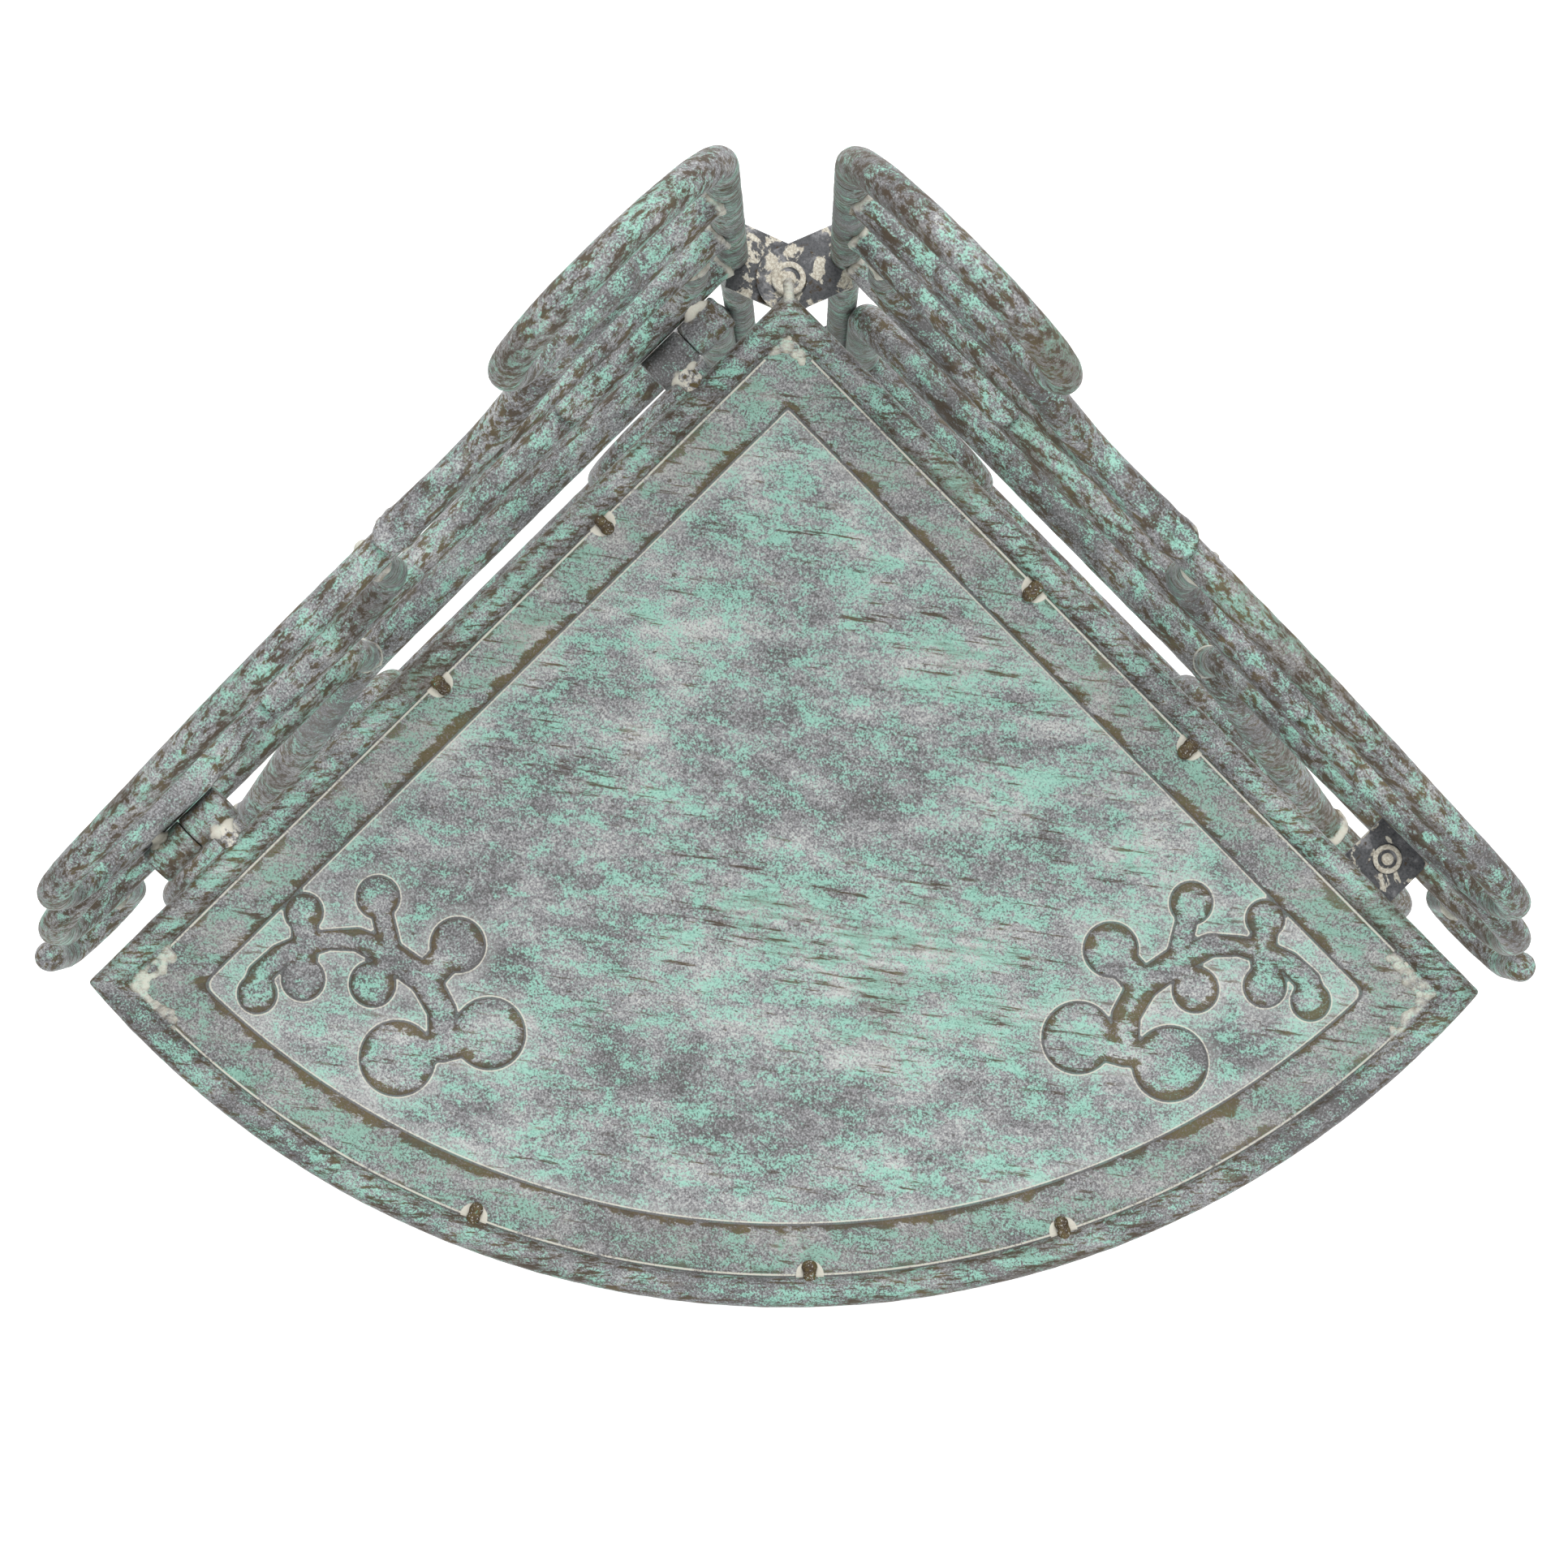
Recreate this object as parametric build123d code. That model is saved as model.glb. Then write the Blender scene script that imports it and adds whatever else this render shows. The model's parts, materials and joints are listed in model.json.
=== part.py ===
"""Folding corner shelf: two quarter-round trays that hinge up between two scrolled side frames.

The shelf is drawn with the trays' back corner on the Z axis and the top tray's middle plane at z = 0.
The right frame runs along +X from that corner, the left frame along -Y, and the trays fill the
quarter between them. At the end everything moves so that the origin is on the floor, in the middle
of the footprint. A side frame is drawn once, as the right one, and the left one is its mirror copy.
"""

import os
from math import hypot

from build123d import *

# Driving dimensions, in millimetres
TRAY_SIDE = 381.0
TIER_SPACING = 419.0
TOTAL_HEIGHT = 914.4
BAR = 12.7
LEG_BAR = 15.9
RIM_ROD = 12.0
SHEET = 1.2

# The side frames' plane, and the hinge line on the left frame, outside the tray's edge
FRAME_OUTSET = 26.7
HINGE_OUTSET = 12.7

# Side frame: distances from the corner along the frame
POST_AT = 4.8
BACK_LEG_GAP = 0.1
BACK_LEG_AT = POST_AT + BAR / 2 + LEG_BAR / 2 + BACK_LEG_GAP
FRONT_LEG_AT = 373.0
POST_FRONT = POST_AT + BAR / 2
LEG_FRONT = BACK_LEG_AT + LEG_BAR / 2

# Side frame: heights above the top tray's middle plane
POST_TOP = 246.0
POST_BOTTOM = -TIER_SPACING - 36.0
ARCH_TOP = 313.0
ARCH_RETURN = 227.0
SWAN_RAIL_TOP = 205.0
GALLERY_TOP = 140.0
TRAY_RAIL_RETURN = -95.0
LEG_RAIL = -157.0
LOWER_HOOP = -350.0
LOWER_RAIL = -TIER_SPACING
FLOOR = ARCH_TOP + BAR / 2 - TOTAL_HEIGHT

# Top arch and the swan rail under it
ARCH_FRONT = 104.0
ARCH_TIP = 52.0
ARCH_BACK_BEND = 52.0
ARCH_FRONT_BEND = 42.0
SWAN_SHOULDER = 78.0
SWAN_FOOT = 126.0
SWAN_TIP = 146.0

# Gallery rail above the tray, and the two quarter scrolls that hold it up
GALLERY_BACK_HEIGHT = 100.0
GALLERY_LEVEL = (140.0, 240.0)
GALLERY_FRONT = 357.0
GALLERY_DIP = 96.0
GALLERY_TIP = 318.0
GALLERY_BOW = 250.0
BACK_SCROLL = (24.5, 95.0)
MIDDLE_SCROLL = (184.5, 133.2)
SCROLL_RUN = 40.0
SCROLL_BEND = 36.0

# Tray rail's front scroll, and the back end that stands on the leg frame
TRAY_RAIL_FRONT = 378.0
TRAY_RAIL_LOW_FRONT = 384.0
TRAY_RAIL_STEM = 223.0

# Leg frame, front hook and lower hoops
LEG_FRAME_CORNER = 230.0
LEG_FRAME_END = 322.0
HOOK_FRONT = 399.5
HOOK_BACK = 361.0
HOOK_BOTTOM = -172.0
HOOK_TIP = -112.0
HOOK_BEND = 19.0
FRONT_HOOP_BACK = 234.0
BACK_HOOP_FRONT = 97.5
HOOP_BEND = 30.0
LEG_SHOULDER_BEND = 36.0

# Gap under a bar that lies on another, and between the sloping gallery rail and the post
LYING_GAP = 0.1
POST_CLEARANCE = 2.0

# Hammered bar ends
TIP_WIDTH = 15.4
TIP_THICKNESS = 5.0
TIP_LENGTH = 26.0

# Feet
FOOT_RADIUS = 11.0
FOOT_HEIGHT = 6.0

# Tray
ARC_CENTRE_AHEAD = 39.0
BORDER = 31.75
PANEL_CORNER = 6.0
PANEL_DROP = 1.5
TACK_RADIUS = 4.0
RIGHT_TACKS_AT = (149.0, 234.6)
LEFT_TACKS_AT = (114.5, 203.0)
FRONT_TACK_ANGLES = (1.8, 18.6, -20.5)

# Barrel hinges, two to a tray
KNUCKLE_RADIUS = 7.5
KNUCKLE_LENGTH = 18.7
KNUCKLE_GAP = 0.4
PIN_RADIUS = 3.0
RUNNING_FIT = 0.05
BACK_HINGE_AT = 42.0
FRONT_HINGE_AT = 312.4
WELD_RADIUS = 4.5

# Corner pivot: two flat lugs and a rivet under each tray's corner
PIVOT_BACK = 4.0
LUG_WIDTH = 25.4
LUG_THICKNESS = 3.0
UPPER_LUG_TOP = -9.0
LUG_GAP = 0.3
RIVET_RADIUS = 4.0
RIVET_HEAD_RADIUS = 7.0
RIVET_HEAD = 2.3

# Rest lug on the right frame, under the tray's rim
REST_AT = 319.8
REST_INNER = -14.0
REST_OUTER = 31.0
REST_RIVET_OUTSET = 11.0
REST_RIVET_RADIUS = 3.0
REST_WASHER_RADIUS = 6.0
REST_WASHER = 1.4


# ---------------------------------------------------------------- bent bars

def frame_path(points, radii):
    """Line through points (distance along the frame, height) in the side frame's plane."""
    placed = [(along, FRAME_OUTSET, height) for along, height in points]
    if radii is None:
        return Line(*placed)
    return FilletPolyline(*placed, radius=radii)


def bent_bar(points, radii=None, diameter=BAR):
    path = frame_path(points, radii)
    return sweep((path ^ 0) * Circle(diameter / 2), path=path)


def rounded_end(along, height, diameter=BAR):
    return Pos(along, FRAME_OUTSET, height) * Sphere(diameter / 2)


def hammered_tip(along, height, forward):
    """Bar end beaten flat on the bar below it. It starts at along and ends in a half round."""
    step = TIP_LENGTH * forward
    flat_height = height - BAR / 2 + TIP_THICKNESS / 2
    round_section = Plane((along, FRAME_OUTSET, height), x_dir=(0, 1, 0), z_dir=(1, 0, 0))
    flat_section = Plane((along + step, FRAME_OUTSET, flat_height), x_dir=(0, 1, 0), z_dir=(1, 0, 0))
    taper = loft([
        round_section * Circle(BAR / 2),
        flat_section * Ellipse(TIP_WIDTH / 2, TIP_THICKNESS / 2),
    ])
    end = Pos(along + step, FRAME_OUTSET, flat_height) * Cylinder(TIP_WIDTH / 2 - 0.6, TIP_THICKNESS - 1.6)
    return taper + end


# ---------------------------------------------------------------- side frame

def back_post():
    return bent_bar([(POST_AT, POST_BOTTOM), (POST_AT, POST_TOP)]) + rounded_end(POST_AT, POST_BOTTOM)


def top_arch():
    arch = bent_bar(
        [(POST_AT, POST_TOP), (POST_AT, ARCH_TOP), (ARCH_FRONT, ARCH_TOP), (ARCH_FRONT, ARCH_RETURN),
         (ARCH_TIP, ARCH_RETURN)],
        [ARCH_BACK_BEND, ARCH_FRONT_BEND, ARCH_FRONT_BEND],
    )
    return arch + rounded_end(ARCH_TIP, ARCH_RETURN)


def swan_rail():
    """Rail that swoops down from the post and lies on the gallery rail."""
    landing = GALLERY_TOP + BAR + LYING_GAP
    shoulder_bend, foot_bend = 90, 30
    rail = bent_bar(
        [(POST_FRONT, SWAN_RAIL_TOP), (SWAN_SHOULDER, SWAN_RAIL_TOP), (SWAN_FOOT, landing), (SWAN_TIP, landing)],
        [shoulder_bend, foot_bend],
    )
    return rail + hammered_tip(SWAN_TIP, landing, forward=1)


def gallery_rail():
    """Bowed rail above the tray, whose front end scrolls round and lies on the tray rail."""
    level_from, level_to = GALLERY_LEVEL
    landing = BAR + LYING_GAP
    front_bend, end_bend = 34, 33
    rail = bent_bar(
        [(POST_FRONT + POST_CLEARANCE, GALLERY_BACK_HEIGHT), (level_from, GALLERY_TOP), (level_to, GALLERY_TOP),
         (GALLERY_FRONT, GALLERY_DIP), (GALLERY_FRONT, landing), (GALLERY_TIP, landing)],
        [GALLERY_BOW, GALLERY_BOW, front_bend, end_bend],
    )
    return rail + hammered_tip(GALLERY_TIP, landing, forward=-1)


def gallery_scrolls():
    """Two quarter scrolls that hold the gallery rail up from the tray rail."""
    landing = BAR + LYING_GAP
    scrolls = []
    for foot_at, top in (BACK_SCROLL, MIDDLE_SCROLL):
        tip_at = foot_at + SCROLL_RUN
        scroll = bent_bar([(foot_at, top), (foot_at, landing), (tip_at, landing)], [SCROLL_BEND])
        scrolls.append(scroll + hammered_tip(tip_at, landing, forward=1))
    return Compound(children=scrolls)


def tray_rail():
    """Rail at the tray's height. Its front end scrolls down and back and stands on the leg frame."""
    upper_bend, lower_bend, stem_bend = 38, 30, 14
    return bent_bar(
        [(POST_FRONT, 0), (TRAY_RAIL_FRONT, 0), (TRAY_RAIL_LOW_FRONT, TRAY_RAIL_RETURN),
         (TRAY_RAIL_STEM, TRAY_RAIL_RETURN), (TRAY_RAIL_STEM, LEG_RAIL + LEG_BAR / 2)],
        [upper_bend, lower_bend, stem_bend],
    )


def leg_frame():
    """Back leg, its long top run, and the slanting end that stands on the front leg's hoop."""
    back_bend, front_bend = 28, 45
    bar = bent_bar(
        [(BACK_LEG_AT, FLOOR + FOOT_HEIGHT), (BACK_LEG_AT, LEG_RAIL), (LEG_FRAME_CORNER, LEG_RAIL),
         (LEG_FRAME_END, LOWER_HOOP)],
        [back_bend, front_bend],
        LEG_BAR,
    )
    length, width, depth = 80, 40, 100
    hoop_top = LOWER_HOOP + LEG_BAR / 2
    return bar - Pos(LEG_FRAME_END, FRAME_OUTSET, hoop_top - depth / 2) * Box(length, width, depth)


def front_hook():
    """Small hook under the tray rail's front scroll."""
    hook = bent_bar(
        [(HOOK_FRONT, HOOK_TIP), (HOOK_FRONT, HOOK_BOTTOM), (HOOK_BACK, HOOK_BOTTOM),
         (HOOK_BACK, TRAY_RAIL_RETURN - BAR / 2)],
        [HOOK_BEND, HOOK_BEND],
    )
    return hook + rounded_end(HOOK_FRONT, HOOK_TIP)


def front_leg():
    """Front leg, with the hoop that stands on the lower tray rail."""
    return bent_bar(
        [(FRONT_HOOP_BACK, LOWER_RAIL + BAR / 2), (FRONT_HOOP_BACK, LOWER_HOOP), (FRONT_LEG_AT, LOWER_HOOP),
         (FRONT_LEG_AT, FLOOR + FOOT_HEIGHT)],
        [HOOP_BEND, LEG_SHOULDER_BEND],
        LEG_BAR,
    )


def back_hoop():
    return bent_bar(
        [(LEG_FRONT, LOWER_HOOP), (BACK_HOOP_FRONT, LOWER_HOOP), (BACK_HOOP_FRONT, LOWER_RAIL + BAR / 2)],
        [HOOP_BEND],
    )


def lower_tray_rail():
    return bent_bar([(LEG_FRONT, LOWER_RAIL), (FRONT_LEG_AT - LEG_BAR / 2, LOWER_RAIL)])


def feet():
    places = [Pos(along, FRAME_OUTSET, FLOOR + FOOT_HEIGHT / 2) for along in (BACK_LEG_AT, FRONT_LEG_AT)]
    return Compound(children=[place * Cylinder(FOOT_RADIUS, FOOT_HEIGHT) for place in places])


def side_frame():
    """One side frame's bars, drawn as the right frame."""
    makers = [
        back_post, top_arch, swan_rail, gallery_rail, gallery_scrolls, tray_rail, leg_frame,
        front_hook, front_leg, back_hoop, lower_tray_rail, feet,
    ]
    return {maker.__name__: maker() for maker in makers}


def mirrored(shape):
    """The left frame's copy of a piece of the right frame."""
    return mirror(shape, about=Plane(origin=(0, 0, 0), z_dir=(1, 1, 0)))


# ---------------------------------------------------------------- corner pivot

PIVOT = Vector(-PIVOT_BACK, PIVOT_BACK, 0)


def lug(level, top, hole_radius):
    """Flat lug from the right frame's post to the pivot, at a height below its tray."""
    post = Vector(POST_AT, FRAME_OUTSET, 0)
    middle = (PIVOT + post) * 0.5
    reach = (post - PIVOT).length
    bottom = level + top - LUG_THICKNESS
    along = Plane(origin=(middle.X, middle.Y, bottom), x_dir=post - PIVOT, z_dir=(0, 0, 1))
    outline = along * SlotCenterToCenter(reach, LUG_WIDTH)
    plate = extrude(outline, LUG_THICKNESS)
    hole = Pos(PIVOT.X, PIVOT.Y, bottom + LUG_THICKNESS / 2) * Cylinder(hole_radius, 2 * LUG_THICKNESS)
    post_bore = Pos(post.X, post.Y, bottom) * Cylinder(BAR / 2, 4 * LUG_THICKNESS)
    leg_bore = Pos(BACK_LEG_AT, FRAME_OUTSET, bottom) * Cylinder(LEG_BAR / 2, 4 * LUG_THICKNESS)
    return plate - hole - post_bore - leg_bore


def corner_rivet(level):
    """Rivet through both lugs, with a head above and below."""
    plates_top = level + UPPER_LUG_TOP + LUG_GAP / 2
    plates_bottom = level + UPPER_LUG_TOP - 2 * LUG_THICKNESS - LUG_GAP
    shank_height = plates_top - plates_bottom
    centre = Pos(PIVOT.X, PIVOT.Y, 0)
    shank = centre * Pos(0, 0, (plates_top + plates_bottom) / 2) * Cylinder(RIVET_RADIUS, shank_height)
    upper = centre * Pos(0, 0, plates_top + RIVET_HEAD / 2) * Cylinder(RIVET_HEAD_RADIUS, RIVET_HEAD)
    lower = centre * Pos(0, 0, plates_bottom - RIVET_HEAD / 2) * Cylinder(RIVET_HEAD_RADIUS, RIVET_HEAD)
    upper = chamfer(upper.edges().group_by(Axis.Z)[-1], RIVET_HEAD * 0.6)
    lower = chamfer(lower.edges().group_by(Axis.Z)[0], RIVET_HEAD * 0.6)
    return upper + shank + lower


# ---------------------------------------------------------------- trays

def tray_arc(inset):
    """Centre, radius and corner reach of the front arc, for an outline inset from the tray's edge."""
    offset = ARC_CENTRE_AHEAD / 2 ** 0.5
    radius = hypot(TRAY_SIDE - offset, offset) - inset
    reach = offset + (radius ** 2 - (offset - inset) ** 2) ** 0.5
    return offset, radius, reach


def tray_outline(inset):
    """Quarter-round outline: two straight sides from the corner and the arc between their ends."""
    offset, radius, reach = tray_arc(inset)
    corner = (inset, -inset)
    right = (reach, -inset)
    left = (inset, -reach)
    front = (offset + radius / 2 ** 0.5, -offset - radius / 2 ** 0.5)
    return Wire([Line(corner, right), ThreePointArc(right, front, left), Line(left, corner)])


def rim_part(which):
    """The part of the tray's outline that one rim rod takes, bounded by the mitres at its corners."""
    far = 2 * TRAY_SIDE
    out = 20.0
    offset = tray_arc(0)[0]
    tangent = Vector(offset, -(TRAY_SIDE - offset), 0).normalized()
    bisector = (tangent + Vector(-1, 0, 0)).normalized()
    right = Vector(TRAY_SIDE, 0, 0)
    right_out = right - bisector * out
    meeting = right - bisector * (TRAY_SIDE / (bisector.X + bisector.Y))
    corner_out = Vector(-out, out, 0)
    left_out = Vector(-right_out.Y, -right_out.X, 0)
    if which == "right":
        points = [corner_out, right_out, meeting]
    elif which == "left":
        points = [corner_out, left_out, meeting]
    else:
        points = [right_out, Vector(far, -far, 0), left_out, meeting]
    return make_face(Polyline(*[(p.X, p.Y) for p in points], close=True))


def rim_rod(which):
    """Round rod under one side of the tray's outline, cut at the mitres where it meets the others."""
    inset = RIM_ROD / 2
    if which == "front":
        offset, radius, _ = tray_arc(inset)
        path = CenterArc((offset, -offset), radius, start_angle=-100, arc_size=110)
    elif which == "right":
        path = Line((-RIM_ROD, -inset), (TRAY_SIDE + RIM_ROD, -inset))
    else:
        path = Line((inset, RIM_ROD), (inset, -TRAY_SIDE - RIM_ROD))
    rod = sweep((path ^ 0) * Circle(RIM_ROD / 2), path=path)
    wedge = Pos(0, 0, -RIM_ROD) * extrude(rim_part(which), 2 * RIM_ROD)
    return rod & wedge


def round_front_corners(face, radius):
    """Rounds the two corners at the arc's ends; the corner at the back stays sharp."""
    forward = Axis((0, 0, 0), (1, -1, 0))
    return fillet(face.vertices().sort_by(forward)[1:], radius)


def tray_pan():
    """Sheet inside the rim rods, with a sunken panel."""
    border_face = make_face(tray_outline(RIM_ROD + RUNNING_FIT))
    panel_face = round_front_corners(make_face(tray_outline(BORDER)), PANEL_CORNER)
    well_face = round_front_corners(make_face(tray_outline(BORDER - SHEET)), PANEL_CORNER + SHEET)
    border = extrude(border_face - panel_face, SHEET)
    panel_bottom = Pos(0, 0, -PANEL_DROP)
    panel = panel_bottom * extrude(well_face, SHEET)
    wall = panel_bottom * extrude(well_face - panel_face, PANEL_DROP + SHEET)
    return border + panel + wall


def tack_welds(rods):
    """Short welds on the sheet, against the rim rods."""
    offset, radius, _ = tray_arc(RIM_ROD)
    places = [Pos(along, -RIM_ROD, 0) for along in RIGHT_TACKS_AT]
    places += [Pos(RIM_ROD, -along, 0) for along in LEFT_TACKS_AT]
    for angle in FRONT_TACK_ANGLES:
        places.append(Pos(offset, -offset, 0) * Rot(0, 0, angle - 45) * Pos(radius, 0, 0))
    on_sheet = (Align.CENTER, Align.CENTER, Align.MIN)
    welds = []
    for place in places:
        bead = place * Pos(0, 0, SHEET) * Sphere(TACK_RADIUS, arc_size1=0, align=on_sheet)
        for rod in rods:
            bead = bead - rod
        welds.append(bead.solids().sort_by(Axis.Z)[-1])
    return Compound(children=welds)


# ---------------------------------------------------------------- barrel hinges, on the left side

def hinge_cylinder(radius, start, end):
    """Cylinder on the hinge line from start to end, both measured from the corner."""
    return Pos(-HINGE_OUTSET, -(start + end) / 2, 0) * Rot(90, 0, 0) * Cylinder(radius, end - start)


def knuckle_spans(which):
    """Start and end of the two tray knuckles or the two frame knuckles."""
    gap = KNUCKLE_GAP / 2
    towards = {"frame": -1, "tray": 1}[which]
    spans = []
    for joint, side in ((BACK_HINGE_AT, towards), (FRONT_HINGE_AT, -towards)):
        ends = (joint + side * gap, joint + side * (gap + KNUCKLE_LENGTH))
        spans.append((min(ends), max(ends)))
    return spans


def knuckles(which, bore):
    barrels = [
        hinge_cylinder(KNUCKLE_RADIUS, start, end) - hinge_cylinder(bore, start - 1, end + 1)
        for start, end in knuckle_spans(which)
    ]
    return Compound(children=barrels)


def hinge_pins():
    reach = KNUCKLE_LENGTH - 1.0
    return Compound(children=[
        hinge_cylinder(PIN_RADIUS, joint - reach, joint + reach) for joint in (BACK_HINGE_AT, FRONT_HINGE_AT)
    ])


def hinge_welds(rod):
    """Stout welds between the rim rod and the tray's knuckles."""
    welds = []
    for start, end in knuckle_spans("tray"):
        middle = (start + end) / 2
        stub = Pos(-HINGE_OUTSET / 2 + 3, -middle, 0) * Rot(0, 90, 0) * Cylinder(WELD_RADIUS, HINGE_OUTSET)
        stub = stub - hinge_cylinder(KNUCKLE_RADIUS, start - 5, end + 5) - rod
        welds.append(stub.solids().sort_by(Axis.X)[-1])
    return Compound(children=welds)


def tray():
    """One tray's pieces, with its middle plane at z = 0."""
    rods = {f"{side}_rim_rod": rim_rod(side) for side in ("left", "right", "front")}
    return {
        **rods,
        "pan": tray_pan(),
        "tack_welds": tack_welds(rods.values()),
        "hinge_welds": hinge_welds(rods["left_rim_rod"]),
        "hinge_knuckles": knuckles("tray", PIN_RADIUS + RUNNING_FIT),
    }


# ---------------------------------------------------------------- rest lug, on the right side

def rest_lug():
    """Flat lug under the tray rail that the tray's rim comes down on."""
    top = -BAR / 2
    middle = Pos(REST_AT, (REST_INNER + REST_OUTER) / 2, top - LUG_THICKNESS / 2)
    plate = middle * Box(LUG_WIDTH, REST_OUTER - REST_INNER, LUG_THICKNESS)
    hole = Pos(REST_AT, REST_RIVET_OUTSET, top) * Cylinder(REST_RIVET_RADIUS, 4 * LUG_THICKNESS)
    return plate - hole


def rest_rivet():
    top = -BAR / 2
    centre = Pos(REST_AT, REST_RIVET_OUTSET, 0)
    washer = centre * Pos(0, 0, top + REST_WASHER / 2) * Cylinder(REST_WASHER_RADIUS, REST_WASHER)
    shank = centre * Pos(0, 0, top - LUG_THICKNESS / 2) * Cylinder(REST_RIVET_RADIUS, LUG_THICKNESS)
    tail = centre * Pos(0, 0, top - LUG_THICKNESS - REST_WASHER / 2) * Cylinder(REST_WASHER_RADIUS, REST_WASHER)
    return washer + shank + tail


# ---------------------------------------------------------------- the whole shelf

def corner_shelf():
    """Every sub-part by name, with the top tray's middle plane at z = 0."""
    shelf = {}
    for name, piece in side_frame().items():
        shelf[f"right_{name}"] = piece
        shelf[f"left_{name}"] = mirrored(piece)
    lower_lug_top = UPPER_LUG_TOP - LUG_THICKNESS - LUG_GAP
    tray_pieces = tray()
    for tier, level in (("top", 0.0), ("lower", -TIER_SPACING)):
        at_level = Pos(0, 0, level)
        for name, piece in tray_pieces.items():
            shelf[f"{tier}_tray_{name}"] = at_level * piece
        shelf[f"{tier}_frame_knuckles"] = at_level * knuckles("frame", PIN_RADIUS)
        shelf[f"{tier}_hinge_pins"] = at_level * hinge_pins()
        shelf[f"{tier}_right_corner_lug"] = lug(level, UPPER_LUG_TOP, RIVET_RADIUS + RUNNING_FIT)
        shelf[f"{tier}_left_corner_lug"] = mirrored(lug(level, lower_lug_top, RIVET_RADIUS))
        shelf[f"{tier}_corner_rivet"] = corner_rivet(level)
        shelf[f"{tier}_rest_lug"] = at_level * rest_lug()
        shelf[f"{tier}_rest_rivet"] = at_level * rest_rivet()
    return shelf


def footprint_centre(shelf):
    box = Compound(children=[piece.moved(Location()) for piece in shelf.values()]).bounding_box()
    return Vector(box.center().X, box.center().Y, box.min.Z)


def main():
    os.makedirs("parts", exist_ok=True)
    shelf = corner_shelf()
    to_origin = Location(-footprint_centre(shelf))
    for name, piece in shelf.items():
        export_step(to_origin * piece, f"parts/{name}.step")


if __name__ == "__main__":
    main()
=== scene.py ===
"""Looks of the folding corner shelf: worn verdigris bars, trays and welds, with floor, light and camera."""

import json
import math
import random

import bmesh
import bpy
import numpy as np
from mathutils import Matrix, Vector


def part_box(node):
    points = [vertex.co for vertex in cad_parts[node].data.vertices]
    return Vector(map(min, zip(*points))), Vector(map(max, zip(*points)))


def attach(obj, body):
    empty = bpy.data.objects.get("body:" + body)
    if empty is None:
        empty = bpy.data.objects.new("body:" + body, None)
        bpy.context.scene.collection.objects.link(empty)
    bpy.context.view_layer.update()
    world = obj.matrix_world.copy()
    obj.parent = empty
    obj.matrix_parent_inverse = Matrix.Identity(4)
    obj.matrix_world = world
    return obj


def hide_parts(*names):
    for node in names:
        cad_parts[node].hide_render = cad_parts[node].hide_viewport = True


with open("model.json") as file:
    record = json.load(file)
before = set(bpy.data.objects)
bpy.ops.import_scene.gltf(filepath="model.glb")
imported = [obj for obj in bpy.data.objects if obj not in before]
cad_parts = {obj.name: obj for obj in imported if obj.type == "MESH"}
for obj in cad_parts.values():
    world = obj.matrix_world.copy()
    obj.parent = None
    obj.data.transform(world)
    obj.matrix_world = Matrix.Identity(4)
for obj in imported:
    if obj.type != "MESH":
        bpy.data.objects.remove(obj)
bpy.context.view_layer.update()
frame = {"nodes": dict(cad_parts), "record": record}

MM = 0.001
TIERS = ("top", "lower")
SIDES = ("left", "right")

# ---------------------------------------------------------------- places, all from the frame

rod_low, rod_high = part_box("top_tray_right_rim_rod")
lower_low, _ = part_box("lower_tray_right_rim_rod")
APEX = Vector((rod_low.x, rod_high.y, (rod_low.z + rod_high.z) / 2))
TRAY_SIDE = rod_high.x - rod_low.x
RIM_ROD = rod_high.z - rod_low.z
TIER_DROP = {"top": 0.0, "lower": rod_low.z - lower_low.z}
_, pan_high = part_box("top_tray_pan")
BORDER_TOP = pan_high.z - APEX.z
post_low, post_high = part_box("right_lower_tray_rail")
FRAME_OUTSET = (post_low.y + post_high.y) / 2 - APEX.y
BAR = post_high.y - post_low.y


def in_frame(side, along, out, height):
    """Point beside the tray: along a side from the corner, outward from it, and above the top tray."""
    if side == "right":
        return APEX + Vector((along, out, height))
    return APEX + Vector((-out, -along, height))


def on_tray(tier, right, left, height):
    """Point over a tray: how far along its right and left sides, and how high over its middle plane."""
    return APEX + Vector((right, -left, height - TIER_DROP[tier]))


# ---------------------------------------------------------------- material helpers

def srgb(red, green, blue):
    """Linear colour from 0 to 255 display values."""
    def linear(value):
        value = value / 255
        return value / 12.92 if value <= 0.04045 else ((value + 0.055) / 1.055) ** 2.4
    return (linear(red), linear(green), linear(blue), 1.0)


SPECULAR = 0.35


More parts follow.
